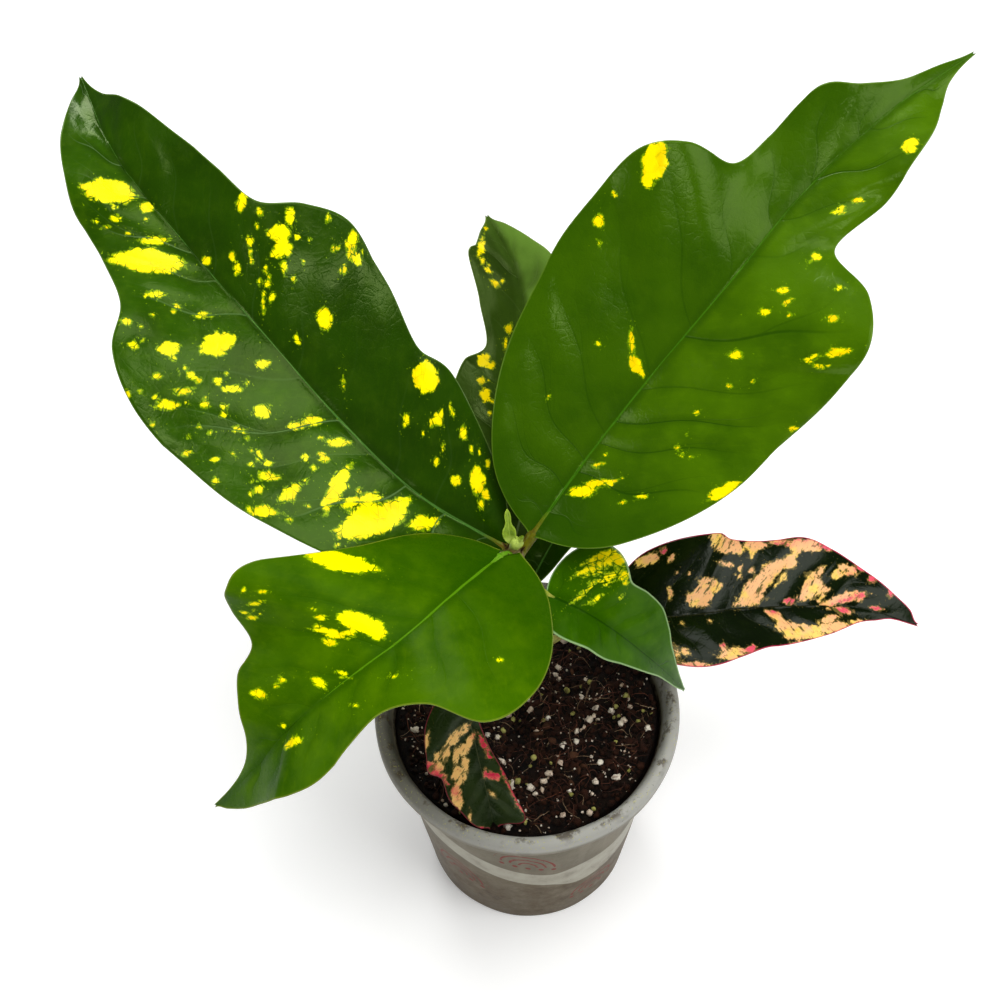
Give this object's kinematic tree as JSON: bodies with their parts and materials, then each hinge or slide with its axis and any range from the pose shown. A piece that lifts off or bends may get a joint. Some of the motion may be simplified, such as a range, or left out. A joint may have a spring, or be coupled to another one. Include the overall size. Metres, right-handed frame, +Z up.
{
  "type": "potted croton",
  "caption": "Young croton house plant with broad lobed, yellow-splashed leaves on an upright stem, in soil in a round grey nursery pot with a turned-out lip.",
  "frame": {"origin": "middle of the pot's underside, on the surface that it stands on", "axes": "+Z up along the pot's axis, +X to the right and +Y away as the picture shows the plant"},
  "size_m": [0.3074, 0.203, 0.3128],
  "materials": {
    "pot_plastic": "satin",
    "soil": "matte",
    "stem": "matte",
    "leaf_green": "satin",
    "leaf_bright": "satin",
    "leaf_dark": "satin",
    "leaf_old": "satin",
    "shoot": "satin"
  },
  "bodies": {
    "root": {"pot": "pot_plastic", "soil": "soil", "stem": "stem", "leaf_back_left": "leaf_green", "leaf_back_right": "leaf_green", "leaf_front_left": "leaf_bright", "leaf_front_right": "leaf_green", "leaf_back": "leaf_dark", "leaf_hidden": "leaf_dark", "leaf_low_right": "leaf_old", "leaf_low_front": "leaf_old", "shoot": "shoot"}
  },
  "joints": []
}
